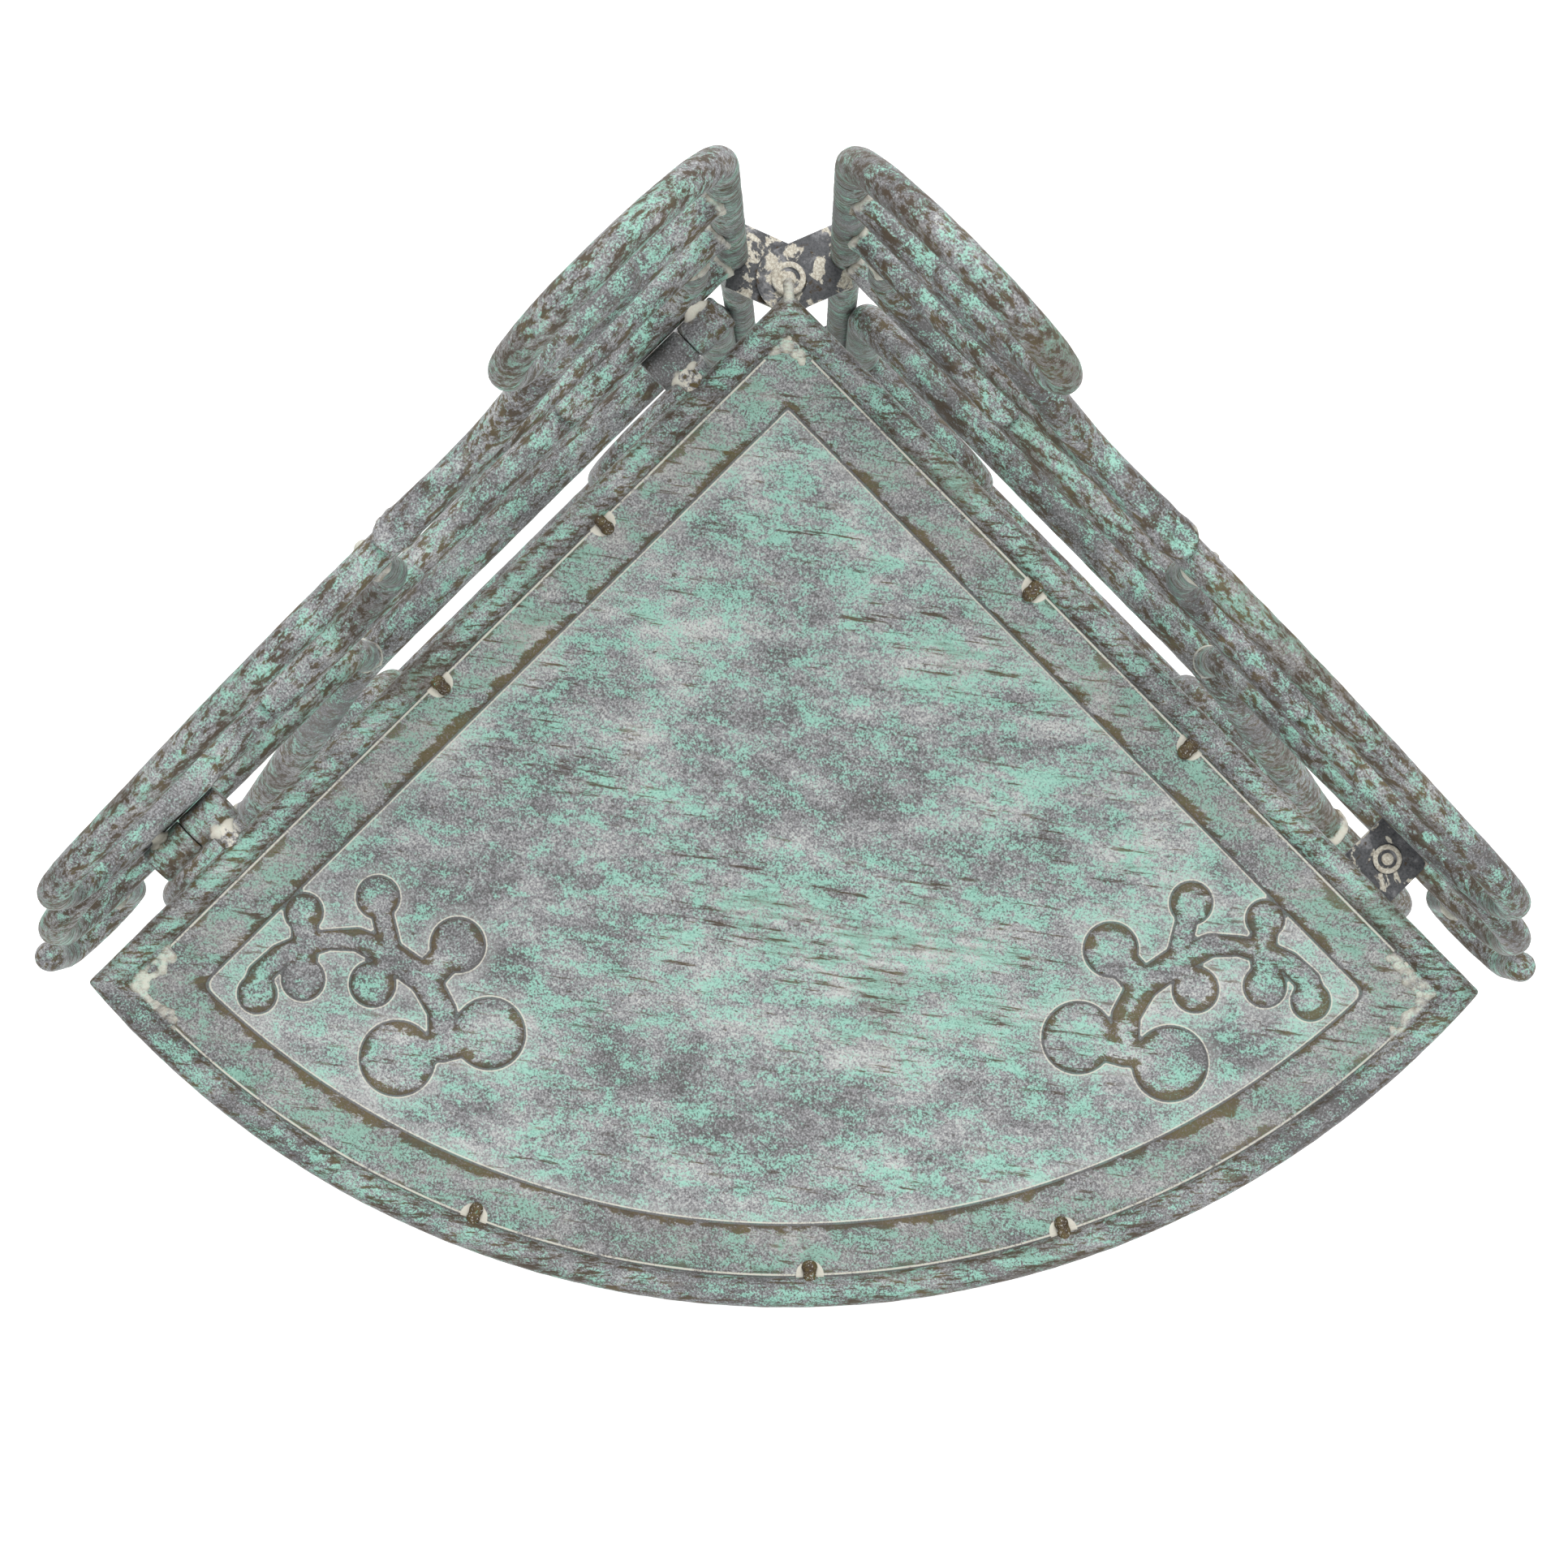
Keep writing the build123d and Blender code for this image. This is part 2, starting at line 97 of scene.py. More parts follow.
class Shade:
    """Builds one procedural material, with a short method for each kind of node."""

    def __init__(self, name, metallic=0.0):
        self.material = bpy.data.materials.new(name)
        self.material.use_nodes = True
        self.tree = self.material.node_tree
        self.tree.nodes.clear()
        output = self.tree.nodes.new("ShaderNodeOutputMaterial")
        self.shader = self.tree.nodes.new("ShaderNodeBsdfPrincipled")
        self.shader.inputs["Metallic"].default_value = metallic
        self.shader.inputs["Specular IOR Level"].default_value = SPECULAR
        self.tree.links.new(self.shader.outputs[0], output.inputs["Surface"])
        coordinates = self.tree.nodes.new("ShaderNodeTexCoord")
        self.place = coordinates.outputs["Object"]

    def put(self, socket, value):
        if isinstance(value, bpy.types.NodeSocket):
            self.tree.links.new(value, socket)
        else:
            socket.default_value = value

    def turned(self, degrees, stretch):
        """Object coordinates turned about Z, then scaled, for strokes that run one way."""
        turn = self.tree.nodes.new("ShaderNodeMapping")
        turn.inputs["Rotation"].default_value = (0, 0, math.radians(degrees))
        self.tree.links.new(self.place, turn.inputs["Vector"])
        scale = self.tree.nodes.new("ShaderNodeMapping")
        scale.inputs["Scale"].default_value = stretch
        self.tree.links.new(turn.outputs[0], scale.inputs["Vector"])
        return scale.outputs[0]

    def noise(self, size, detail=6.0, rough=0.6, where=None, warp=0.0):
        """Noise whose largest features are size metres across."""
        node = self.tree.nodes.new("ShaderNodeTexNoise")
        node.inputs["Scale"].default_value = 1 / size
        node.inputs["Detail"].default_value = detail
        node.inputs["Roughness"].default_value = rough
        node.inputs["Distortion"].default_value = warp
        self.tree.links.new(where or self.place, node.inputs["Vector"])
        return node.outputs["Fac"]

    def step(self, value, low, high):
        """0 below low, 1 above high, smooth between."""
        node = self.tree.nodes.new("ShaderNodeMapRange")
        node.interpolation_type = "SMOOTHSTEP"
        self.put(node.inputs["Value"], value)
        node.inputs["From Min"].default_value = low
        node.inputs["From Max"].default_value = high
        return node.outputs["Result"]

    def maths(self, operation, first, second):
        node = self.tree.nodes.new("ShaderNodeMath")
        node.operation = operation
        self.put(node.inputs[0], first)
        self.put(node.inputs[1], second)
        return node.outputs[0]

    def blend(self, first, second, share):
        """Sum of two values, with that share of the second."""
        kept = self.maths("MULTIPLY", first, 1 - share)
        return self.maths("ADD", kept, self.maths("MULTIPLY", second, share))

    def mix(self, factor, first, second):
        node = self.tree.nodes.new("ShaderNodeMix")
        node.data_type = "RGBA"
        self.put(node.inputs[0], factor)
        self.put(node.inputs[6], first)
        self.put(node.inputs[7], second)
        return node.outputs[2]

    def painted(self, name):
        """A mask stored on the mesh's points; 0 on meshes without it."""
        node = self.tree.nodes.new("ShaderNodeAttribute")
        node.attribute_name = name
        return node.outputs["Fac"]

    def bump(self, height, distance):
        node = self.tree.nodes.new("ShaderNodeBump")
        node.inputs["Strength"].default_value = 1.0
        node.inputs["Distance"].default_value = distance
        self.put(node.inputs["Height"], height)
        self.tree.links.new(node.outputs[0], self.shader.inputs["Normal"])

    def finish(self, colour, roughness):
        self.put(self.shader.inputs["Base Color"], colour)
        self.put(self.shader.inputs["Roughness"], roughness)
        return self.material


DARK_GREY = srgb(92, 91, 91)
GREY = srgb(146, 146, 149)
PALE = srgb(206, 208, 205)
MINT = srgb(152, 210, 191)
TURQUOISE = srgb(118, 184, 164)
BROWN = srgb(70, 56, 40)
OLIVE = srgb(94, 80, 48)
UMBER = srgb(92, 82, 68)
CREAM = srgb(222, 218, 204)
CHARCOAL = srgb(98, 99, 102)


def patina(name, turn, stretch, mint_from, brown_from, dim=0.0, relief=False):
    """Grey paint with mint flecks, pale speckle and brown strokes, with painted shade on the flanks of
    bars.

    mint_from and brown_from are the noise values where those colours start, and dim, from 0 to 1, is how
    much of the paint is rubbed down to brown.
    """
    shade = Shade(name)
    brushed = shade.turned(turn, stretch)
    soft_brushed = shade.turned(turn, [0.5 + 0.5 * share for share in stretch])
    grain = shade.noise(0.8 * MM, detail=3, rough=0.7)
    mottle = shade.noise(22 * MM, detail=10, rough=0.72, warp=0.4, where=soft_brushed)
    patches = shade.noise(9 * MM, detail=10, rough=0.8, warp=0.3, where=soft_brushed)
    strokes = shade.noise(2.0 * MM, detail=6, rough=0.72, where=brushed)
    cloud = shade.noise(70 * MM, detail=6, rough=0.65, where=soft_brushed)
    # Painted shade: this mask is high on the flanks of lying bars, which get more umber and brown strokes
    # and fewer mint flecks than their tops.
    flank_shade = shade.painted("flank_shade")

    tone = shade.blend(shade.blend(grain, mottle, 0.45), cloud, 0.2)
    colour = shade.mix(shade.step(tone, 0.4 + dim * 0.05, 0.5 + dim * 0.05), DARK_GREY, GREY)
    colour = shade.mix(shade.step(tone, 0.47 + dim * 0.06, 0.58 + dim * 0.06), colour, PALE)

    ragged = shade.blend(shade.blend(patches, cloud, 0.2), grain, 0.3)
    # Fewer mint flecks on bar flanks, as painted shade.
    ragged = shade.maths("SUBTRACT", ragged, shade.maths("MULTIPLY", flank_shade, 0.02))
    mint_mask = shade.step(ragged, mint_from, mint_from + 0.06)
    green = shade.mix(shade.step(grain, 0.36, 0.5), TURQUOISE, MINT)
    colour = shade.mix(shade.maths("MULTIPLY", mint_mask, 0.8), colour, green)

    brown = shade.mix(shade.step(mottle, 0.45, 0.6), BROWN, OLIVE)
    # Umber rubbed patches from the noise, shifted onto bar flanks as painted shade.
    cloud_and_flank_shade = shade.maths("ADD", cloud, shade.maths("MULTIPLY", flank_shade, 0.1))
    rubbed = shade.step(shade.blend(cloud_and_flank_shade, strokes, 0.45), 0.54 - dim * 0.07, 0.66 - dim * 0.07)
    colour = shade.mix(shade.maths("MULTIPLY", rubbed, 0.45 + dim * 0.25), colour, UMBER)
    # Brown strokes from the noise, also shifted onto bar flanks as painted shade.
    strokes_and_flank_shade = shade.maths("ADD", strokes, shade.maths("MULTIPLY", flank_shade, 0.04))
    stroke_cut = shade.step(strokes_and_flank_shade, brown_from, brown_from + 0.05)
    stroke_area = shade.step(cloud_and_flank_shade, 0.42 - dim * 0.08, 0.56 - dim * 0.08)
    stroke_mask = shade.maths("MULTIPLY", stroke_cut, stroke_area)
    colour = shade.mix(shade.maths("MULTIPLY", stroke_mask, 0.85), colour, brown)
    speck_noise = shade.noise(1.9 * MM, detail=4, rough=0.7, where=soft_brushed)
    specks = shade.step(speck_noise, 0.62 - dim * 0.03, 0.68)
    colour = shade.mix(shade.maths("MULTIPLY", specks, 0.75), colour, BROWN)

    if relief:
        colour = relief_paint(shade, colour, brown, patches, mottle, grain)
    else:
        crease = shade.painted("crease")
        wash = shade.step(shade.maths("ADD", crease, shade.maths("MULTIPLY", patches, 0.6)), 0.62, 0.85)
        colour = shade.mix(shade.maths("MULTIPLY", wash, 0.85), colour, CREAM)
    shade.bump(shade.blend(grain, patches, 0.6), 0.55 * MM)
    return shade.finish(colour, shade.step(tone, 0.2, 0.75))


def relief_paint(shade, colour, brown, patches, mottle, grain):
    """Brown along the high side of a step, cream along its low side and in the seam beside the rim rod,
    with painted shade in dark grey on the step and along the seam.
    """
    edge = shade.painted("edge")
    border_wear = shade.step(shade.blend(mottle, patches, 0.5), 0.4, 0.56)
    border = shade.maths("MULTIPLY", shade.painted("border"), border_wear)
    colour = shade.mix(shade.maths("MULTIPLY", border, 0.3), colour, UMBER)
    # Painted shade: dark grey on the step between border and panel.
    step_shade = shade.maths("MULTIPLY", shade.step(edge, -0.75, -0.3), shade.step(edge, 0.7, 0.2))
    colour = shade.mix(shade.maths("MULTIPLY", step_shade, 0.75), colour, DARK_GREY)
    width = shade.maths("SUBTRACT", shade.maths("MULTIPLY", shade.blend(patches, mottle, 0.5), 40.0), 17.6)
    worn = shade.step(shade.maths("SUBTRACT", width, edge), 0.0, 0.9)
    worn = shade.maths("MULTIPLY", worn, shade.step(edge, 0.1, 0.35))
    worn = shade.maths("MULTIPLY", worn, shade.step(grain, 0.34, 0.46))
    colour = shade.mix(shade.maths("MULTIPLY", worn, 0.92), colour, brown)
    haze = shade.maths("MULTIPLY", shade.step(edge, -8.0, -1.0), shade.step(edge, -0.3, -0.8))
    colour = shade.mix(shade.maths("MULTIPLY", haze, 0.2), colour, PALE)
    foot = shade.maths("MULTIPLY", shade.step(edge, -1.25, -0.95), shade.step(edge, -0.5, -0.75))
    foot = shade.maths("MULTIPLY", foot, shade.step(shade.blend(patches, grain, 0.4), 0.36, 0.5))
    colour = shade.mix(shade.maths("MULTIPLY", foot, 0.9), colour, CREAM)
    seam = shade.painted("seam")
    # Painted shade: a dark grey line in the seam between sheet and rim rod.
    dark = shade.maths("MULTIPLY", shade.step(seam, -0.9, -0.4), shade.step(seam, 0.4, 0.1))
    colour = shade.mix(shade.maths("MULTIPLY", dark, 0.8), colour, DARK_GREY)
    line = shade.maths("MULTIPLY", shade.step(seam, 0.15, 0.4), shade.step(seam, 1.15, 0.8))
    line = shade.maths("MULTIPLY", line, shade.step(shade.blend(patches, grain, 0.4), 0.36, 0.5))
    colour = shade.mix(shade.maths("MULTIPLY", line, 0.9), colour, CREAM)
    beside = shade.step(shade.maths("SUBTRACT", shade.maths("SUBTRACT", width, seam), 0.5), 0.0, 0.9)
    beside = shade.maths("MULTIPLY", beside, shade.step(seam, 1.0, 1.3))
    beside = shade.maths("MULTIPLY", beside, shade.step(grain, 0.36, 0.48))
    colour = shade.mix(shade.maths("MULTIPLY", beside, 0.8), colour, brown)
    halo = shade.maths("ADD", shade.painted("halo"), shade.maths("MULTIPLY", patches, 0.8))
    colour = shade.mix(shade.maths("MULTIPLY", shade.step(halo, 0.85, 1.0), 0.9), colour, CREAM)
    return colour


def lug_paint():
    """Dark grey plate with cream patches."""
    shade = Shade("worn_lug")
    grain = shade.noise(1.0 * MM, detail=5, rough=0.7)
    blotch = shade.noise(9 * MM, detail=6, rough=0.6, warp=0.5)
    colour = shade.mix(shade.step(grain, 0.35, 0.65), srgb(68, 69, 72), CHARCOAL)
    colour = shade.mix(shade.step(shade.noise(14 * MM, detail=8, rough=0.7), 0.5, 0.62), colour, GREY)
    smear = shade.mix(shade.step(grain, 0.4, 0.6), srgb(176, 166, 150), CREAM)
    colour = shade.mix(shade.step(blotch, 0.53, 0.56), colour, smear)
    colour = shade.mix(shade.step(shade.noise(5 * MM, detail=8), 0.6, 0.66), colour, BROWN)
    hollow = shade.maths("ADD", shade.painted("crease"), shade.maths("MULTIPLY", blotch, 0.8))
    wash = shade.step(hollow, 0.8, 1.0)
    colour = shade.mix(wash, colour, smear)
    shade.bump(grain, 0.2 * MM)
    return shade.finish(colour, shade.step(grain, 0.1, 0.9))


def weld_paint():
    """Cream wash over brown and grey."""
    shade = Shade("washed_weld")
    grain = shade.noise(0.9 * MM, detail=5, rough=0.7)
    blotch = shade.noise(5 * MM, detail=6, rough=0.65)
    colour = shade.mix(shade.step(blotch, 0.42, 0.5), OLIVE, GREY)
    colour = shade.mix(shade.step(blotch, 0.48, 0.56), colour, CREAM)
    colour = shade.mix(shade.step(grain, 0.6, 0.7), colour, BROWN)
    shade.bump(grain, 0.25 * MM)
    return shade.finish(colour, shade.step(grain, 0.1, 0.9))


def tack_paint():
    """Tack welds rubbed down to brown, with pale and turquoise flecks."""
    shade = Shade("rubbed_tack")
    grain = shade.noise(0.8 * MM, detail=5, rough=0.7)
    blotch = shade.noise(3 * MM, detail=5, rough=0.65)
    colour = shade.mix(shade.step(blotch, 0.4, 0.6), BROWN, OLIVE)
    colour = shade.mix(shade.step(grain, 0.56, 0.66), colour, PALE)
    colour = shade.mix(shade.step(blotch, 0.62, 0.68), colour, TURQUOISE)
    shade.bump(grain, 0.25 * MM)
    return shade.finish(colour, shade.step(grain, 0.1, 0.9))


def steel():
    shade = Shade("pin_steel", metallic=0.8)
    grain = shade.noise(1.5 * MM, detail=5)
    colour = shade.mix(shade.step(grain, 0.4, 0.7), srgb(120, 120, 118), srgb(92, 80, 66))
    shade.bump(grain, 0.05 * MM)
    return shade.finish(colour, shade.step(grain, 0.0, 1.1))


def rubber():
    shade = Shade("foot_rubber")
    grain = shade.noise(1.2 * MM, detail=4)
    colour = shade.mix(grain, srgb(28, 28, 28), srgb(52, 50, 48))
    shade.bump(grain, 0.1 * MM)
    return shade.finish(colour, shade.step(grain, -0.4, 0.8))


ACROSS_VIEW = -45
BRUSHED_LONG = (0.2, 1.0, 1.0)
PAINT = {
    "patina_tray": patina(
        "patina_tray", ACROSS_VIEW, BRUSHED_LONG, mint_from=0.485, brown_from=0.54, dim=0.6
    ),
    "patina_bar": patina("patina_bar", 0, (0.3, 0.7, 0.7), mint_from=0.49, brown_from=0.53, dim=0.7),
    "worn_lug": lug_paint(),
    "washed_weld": weld_paint(),
    "pin": steel(),
    "foot": rubber(),
}
TACK_PAINT = tack_paint()
PAN_PAINT = patina("patina_pan", ACROSS_VIEW + 8, (0.1, 1.0, 1.0), 0.49, 0.575, dim=0.2, relief=True)
LEFT_BAR_PAINT = patina("patina_bar_left", 90, (0.3, 0.7, 0.7), mint_from=0.49, brown_from=0.535, dim=0.5)

# ---------------------------------------------------------------- mesh helpers


def new_piece(name, mesh, slot, paint=None):
    """New object in the paint of the named slot, unless another paint is given."""
    piece = bpy.data.objects.new(name, mesh)
    bpy.context.scene.collection.objects.link(piece)
    mesh.materials.clear()
    mesh.materials.append(paint or PAINT[slot])
    return piece


def applied(piece):
    """Replaces the piece's mesh with the result of its modifiers."""
    graph = bpy.context.evaluated_depsgraph_get()
    made = bpy.data.meshes.new_from_object(piece.evaluated_get(graph))
    piece.modifiers.clear()
    old = piece.data
    piece.data = made
    bpy.data.meshes.remove(old)


def clouds(size):
    texture = bpy.data.textures.new("hammer_marks", "CLOUDS")
    texture.noise_scale = size
    texture.noise_depth = 2
    return texture


def points_of(mesh):
    """Places of a mesh's points, one row each."""
    flat = np.zeros(len(mesh.vertices) * 3, np.float32)
    mesh.vertices.foreach_get("co", flat)
    return flat.reshape(-1, 3)


def normals_of(mesh):
    """Normals at a mesh's points, one row each."""
    flat = np.zeros(len(mesh.vertices) * 3, np.float32)
    mesh.vertex_normals.foreach_get("vector", flat)
    return flat.reshape(-1, 3)


def run_together(piece, voxel):
    """Modifiers that turn overlapping solids into one smooth skin."""
    remesh = piece.modifiers.new("remesh", "REMESH")
    remesh.mode = "VOXEL"
    remesh.voxel_size = voxel
    smooth = piece.modifiers.new("smooth", "SMOOTH")
    smooth.iterations = 2


def paint_mask(mesh, name, values):
    """Stores one value a point, which Shade.painted reads."""
    layer = mesh.attributes.new(name, "FLOAT", "POINT")
    layer.data.foreach_set("value", np.asarray(values, np.float32))


def lump(shape, place, radii, turn=0.0):
    """Adds one weld lump, an ellipsoid, to a bmesh."""
    matrix = Matrix.Translation(place) @ Matrix.Rotation(turn, 4, "Z") @ Matrix.Diagonal((*radii, 1))
    bmesh.ops.create_icosphere(shape, subdivisions=2, radius=1.0, matrix=matrix)


def bead_ring(centre, axis, radius, size, seed):
    """Lumps of a weld that goes round a bar's end: a list of place and size."""
    rng = random.Random(seed)
    axis = Vector(axis).normalized()
    side = axis.orthogonal().normalized()
    count = max(7, int(2 * math.pi * radius / size))
    lumps = []
    for index in range(count):
        turn = Matrix.Rotation(2 * math.pi * index / count, 3, axis)
        wobble = Vector([rng.uniform(-0.3, 0.3) * size for _ in range(3)])
        place = centre + turn @ side * radius * rng.uniform(0.82, 0.96) + wobble
        lumps.append((place, size * rng.uniform(0.7, 1.1)))
    return lumps


def puddle(centre, reach, size, count, seed):
    """Lumps of a weld spread over a flat spot: a list of place and size."""
    rng = random.Random(seed)
    lumps = []
    for _ in range(count):
        turn = rng.uniform(0, 2 * math.pi)
        away = reach * math.sqrt(rng.uniform(0, 1))
        shift = (math.cos(turn) * away, math.sin(turn) * away, rng.uniform(-0.3, 0.3) * size)
        lumps.append((centre + Vector(shift), size * rng.uniform(0.6, 1.1)))
    return lumps


def concave(mesh):
    """How deep each point lies in a crease: positive in a hollow, negative on an edge."""
    count = len(mesh.vertices)
    places = points_of(mesh)
    normals = normals_of(mesh)
    edges = np.zeros(len(mesh.edges) * 2, np.int32)
    mesh.edges.foreach_get("vertices", edges)
    first, second = edges.reshape(-1, 2).T
    bend = np.zeros(count)
    links = np.zeros(count)
    for here, there in ((first, second), (second, first)):
        step = places[there] - places[here]
        length = np.linalg.norm(step, axis=1) + 1e-9
        lean = (step * normals[here]).sum(1) / length
        np.add.at(bend, here, lean)
        np.add.at(links, here, 1)
    bend = bend / np.maximum(links, 1)
    for _ in range(3):
        total = bend.copy()
        weight = np.ones(count)
        np.add.at(total, first, bend[second])
        np.add.at(total, second, bend[first])
        np.add.at(weight, first, 1)
        np.add.at(weight, second, 1)
        bend = total / weight
    return bend


HAMMER = clouds(9 * MM)


def forged(name, nodes, slot, lumps=(), paint=None, voxel=1.5 * MM, dents=0.4 * MM, washed=1.0):
    """CAD nodes again as one hand-forged piece: welds run into the bars, which are slightly uneven."""
    shape = bmesh.new()
    for node in nodes:
        shape.from_mesh(frame["nodes"][node].data)
    bmesh.ops.remove_doubles(shape, verts=shape.verts, dist=0.01 * MM)
    for place, size in lumps:
        lump(shape, place, (size, size, size * 0.8))
    mesh = bpy.data.meshes.new(name)
    shape.to_mesh(mesh)
    shape.free()
    piece = new_piece(name, mesh, slot, paint)
    run_together(piece, voxel)
    hammer = piece.modifiers.new("hammer", "DISPLACE")
    hammer.texture = HAMMER
    hammer.texture_coords = "LOCAL"
    hammer.strength = dents
    applied(piece)
    piece.data.shade_smooth()
    crease = np.clip(concave(piece.data) * 6 - 0.3, 0, 1)
    crease = np.maximum(crease, washed * near_lumps(piece.data, lumps))
    paint_mask(piece.data, "crease", crease)
    # Painted shade mask that darkens the flanks of lying bars.
    paint_mask(piece.data, "flank_shade", flank_shade_mask(piece.data))
    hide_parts(*nodes)
    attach(piece, node_body(nodes[0]))


def flank_shade_mask(mesh):
    """Painted shade: 1 on the sloping flanks of a lying bar, 0 along its top, and half on upright faces, so
    that the flanks are painted darker.
    """
    upness = np.abs(normals_of(mesh)[:, 2])
    return np.interp(upness, (0.0, 0.35, 0.75, 0.96), (0.5, 0.8, 1.0, 0.0))


def near_lumps(mesh, lumps):
    """0.5 on the welds, falling to 0 a little way from them."""
    places = points_of(mesh)
    nearness = np.zeros(len(places))
    for place, size in lumps:
        away = np.linalg.norm(places - np.array(place), axis=1) / size
        nearness = np.maximum(nearness, np.clip(1.5 - away * 0.7, 0, 1))
    return nearness * 0.5


def loose_parts(node):
    """Middle point of each separate solid in a CAD node."""
    shape = bmesh.new()
    shape.from_mesh(frame["nodes"][node].data)
    bmesh.ops.remove_doubles(shape, verts=shape.verts, dist=0.01 * MM)
    middles = []
    waiting = set(shape.verts)
    while waiting:
        island = []
        frontier = [waiting.pop()]
        while frontier:
            point = frontier.pop()
            island.append(point.co.copy())
            for link in point.link_edges:
                other = link.other_vert(point)
                if other in waiting:
                    waiting.remove(other)
                    frontier.append(other)
        low = Vector([min(p[i] for p in island) for i in range(3)])
        high = Vector([max(p[i] for p in island) for i in range(3)])
        middles.append((low + high) / 2)
    shape.free()
    return sorted(middles, key=lambda p: (round(p.x, 4), round(p.y, 4)))


def node_body(node):
    """Name of the body that a CAD node belongs to."""
    for body, members in frame["record"]["behaviour"]["bodies"].items():
        if node in members:
            return body
    raise ValueError(node)


# ---------------------------------------------------------------- tray pans

BORDER = 31.75 * MM
PANEL_DROP = 1.5 * MM
SHEET = 1.2 * MM
GRID = 0.9 * MM
SCROLL_RISE = 1.0 * MM
CORNER_ROUND = 5 * MM

# The arc's centre lies on the tray's middle line, ahead of the corner
_, arc_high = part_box("top_tray_front_rim_rod")
ARC_REACH = arc_high.x - APEX.x


def arc_shape():
    """Centre offset and radius of the front edge, from where it meets the sides and how far it bulges."""
    low, high = 0.0, TRAY_SIDE / 4
    for _ in range(60):
        offset = (low + high) / 2
        radius = math.hypot(TRAY_SIDE - offset, offset)
        if offset + radius < ARC_REACH:
            low = offset
        else:
            high = offset
    return offset, radius


ARC_OFFSET, ARC_RADIUS = arc_shape()

# Corners of the tray, as distances along its right and left sides, and how far their welds reach
TRAY_CORNERS = [Vector((0, 0)), Vector((TRAY_SIDE, 0)), Vector((0, TRAY_SIDE))]
CORNER_WELD = 26 * MM


def inset_depth(right, left):
    """Distance in from the tray's outline."""
    to_arc = ARC_RADIUS - np.hypot(right - ARC_OFFSET, left - ARC_OFFSET)
    return np.minimum(np.minimum(right, left), to_arc)


def soft_min(first, second, width):
    """The smaller of two distances, rounded over where they are about equal."""
    blend = np.clip(0.5 + 0.5 * (second - first) / width, 0, 1)
    return second + (first - second) * blend - width * blend * (1 - blend)


def soft_depth(right, left):
    """Depth inside the outline with the front corners rounded and the back corner nearly sharp."""
    to_arc = ARC_RADIUS - np.hypot(right - ARC_OFFSET, left - ARC_OFFSET)
    return soft_min(soft_min(right, left, 1 * MM), to_arc, CORNER_ROUND)


# Scroll in a tray's front corner: back from the corner along the side, in from the side, and radius, in mm
LOBES = {
    "top": (103.0, 55.4, 8.1),
    "middle": (112.0, 90.2, 10.4),
    "far": (96.6, 123.2, 13.7),
    "inner": (77.9, 77.8, 8.7),
    "near": (64.5, 105.0, 14.4),
    "bud": (78.5, 39.3, 7.3),
    "leaf": (60.1, 57.6, 8.1),
    "tip": (43.4, 49.2, 7.4),
}
TRUNK = [
    (80.2, 113.7, 5.0),
    (89.7, 104.2, 5.3),
    (93.6, 91.0, 5.6),
    (91.0, 75.5, 5.4),
    (86.0, 61.5, 4.2),
    (78.0, 53.8, 3.6),
    (70.0, 49.0, 4.4),
    (60.0, 44.8, 4.2),
    (49.5, 44.6, 4.6),
    (43.4, 49.2, 7.2),
]
NECKS = [
    ("top", 3, 3.9),
    ("middle", 2, 6.0),
    ("far", 0, 6.0),
    ("inner", 3, 4.6),
    ("near", 0, 5.4),
    ("bud", 6, 4.9),
    ("leaf", 6, 4.6),
]


def capsule(back, across, start, end):
    """Signed distance to a bar with round ends and a changing radius."""
    run = (end[0] - start[0], end[1] - start[1])
    length = run[0] ** 2 + run[1] ** 2
    share = np.clip(((back - start[0]) * run[0] + (across - start[1]) * run[1]) / length, 0, 1)
    radius = start[2] + (end[2] - start[2]) * share
    return np.hypot(back - start[0] - run[0] * share, across - start[1] - run[1] * share) - radius


def scroll_distance(right, left):
    """Signed distance in mm to the scroll in the right corner; negative on the scroll."""
    back = (TRAY_SIDE - right) / MM
    across = left / MM
    distance = np.full(right.shape, 1e3)
    for centre_back, centre_across, radius in LOBES.values():
        distance = np.minimum(distance, np.hypot(back - centre_back, across - centre_across) - radius)
    for start, end in zip(TRUNK, TRUNK[1:]):
        distance = np.minimum(distance, capsule(back, across, start, end))
    for lobe, joint, radius in NECKS:
        start = (*LOBES[lobe][:2], radius)
        end = (*TRUNK[joint][:2], radius)
        distance = np.minimum(distance, capsule(back, across, start, end))
    return distance


def rise(value, low, high):
    """0 below low, 1 above high, smooth between."""
    share = np.clip((value - low) / (high - low), 0, 1)
    return share * share * (3 - 2 * share)


def snapped(right, left, distance, gap):
    """Moves grid points that lie close to a step onto two lines, at its top edge and its foot."""
    value = distance(right, left)
    near = np.abs(value) < gap
    target = np.where(value < 0, -gap / 2, gap / 2)
    nudge = 0.05 * MM
    slope_right = (distance(right + nudge, left) - distance(right - nudge, left)) / (2 * nudge)
    slope_left = (distance(right, left + nudge) - distance(right, left - nudge)) / (2 * nudge)
    steep = np.maximum(slope_right ** 2 + slope_left ** 2, 1e-6)
    move = np.where(near, (target - value) / steep, 0)
    return right + move * slope_right, left + move * slope_left


def scroll_step(right, left):
    """Signed distance in metres to either corner's scroll, negative on the scroll."""
    return np.minimum(scroll_distance(right, left), scroll_distance(left, right)) * MM


def panel_step(right, left):
    """Signed distance in metres to the panel's edge, negative on the panel."""
    return BORDER - soft_depth(right, left)


def tack_halo(right, left):
    """1 close to the tack welds' feet, falling to 0."""
    near = np.full(right.shape, 1.0)
    for middle in loose_parts("top_tray_tack_welds"):
        near = np.minimum(near, np.hypot(right - (middle.x - APEX.x), left - (APEX.y - middle.y)))
    return rise(-near, -7.5 * MM, -3.5 * MM)


